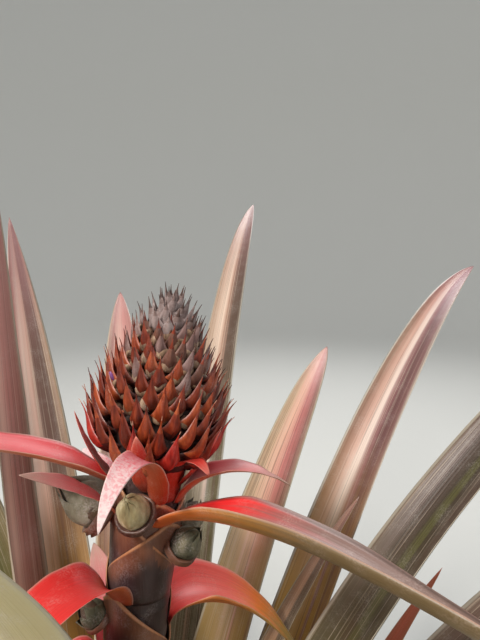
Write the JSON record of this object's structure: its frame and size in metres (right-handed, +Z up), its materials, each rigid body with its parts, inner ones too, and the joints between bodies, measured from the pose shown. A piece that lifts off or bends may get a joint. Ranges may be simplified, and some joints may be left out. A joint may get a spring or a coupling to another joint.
{
  "type": "pineapple plant",
  "caption": "Pineapple plant with a leaning sheathed stalk, red bracts, a spiky young flower head with a small crown, and long channelled leaves in a spiral on a short stem.",
  "frame": {"origin": "middle of the flat cut under the stem, at ground level", "axes": "+Z up along the stem; -Y is the side the picture was taken from; the stalk leans towards +X"},
  "size_m": [1.006, 1.286, 0.8341],
  "materials": {
    "leaf_blade": "satin",
    "red_bract": "satin",
    "bud_scales": "matte",
    "stem_tissue": "matte",
    "stalk_sheaths": "satin",
    "head_bracts": "satin",
    "crown_leaves": "matte"
  },
  "bodies": {
    "root": {"bract_front": "red_bract", "bract_high_back": "red_bract", "bract_high_left": "red_bract", "bract_high_right": "red_bract", "bract_left": "red_bract", "bract_long_left": "red_bract", "bract_long_right": "red_bract", "bract_low_back": "red_bract", "bract_low_left": "red_bract", "bract_low_right": "red_bract", "bract_mid_back": "red_bract", "bud_back": "bud_scales", "bud_front": "bud_scales", "bud_left": "bud_scales", "bud_low": "bud_scales", "bud_right": "bud_scales", "crown": "crown_leaves", "flower_head": "head_bracts", "leaf_00": "leaf_blade", "leaf_01": "leaf_blade", "leaf_02": "leaf_blade", "leaf_03": "leaf_blade", "leaf_04": "leaf_blade", "leaf_05": "leaf_blade", "leaf_06": "leaf_blade", "leaf_07": "leaf_blade", "leaf_08": "leaf_blade", "leaf_09": "leaf_blade", "leaf_10": "leaf_blade", "leaf_11": "leaf_blade", "leaf_12": "leaf_blade", "leaf_13": "leaf_blade", "leaf_14": "leaf_blade", "leaf_15": "leaf_blade", "leaf_16": "leaf_blade", "leaf_17": "leaf_blade", "leaf_18": "leaf_blade", "leaf_19": "leaf_blade", "leaf_20": "leaf_blade", "leaf_21": "leaf_blade", "leaf_22": "leaf_blade", "leaf_23": "leaf_blade", "leaf_24": "leaf_blade", "leaf_25": "leaf_blade", "leaf_26": "leaf_blade", "leaf_27": "leaf_blade", "leaf_28": "leaf_blade", "leaf_29": "leaf_blade", "stalk": "stalk_sheaths", "stem": "stem_tissue"}
  },
  "joints": []
}
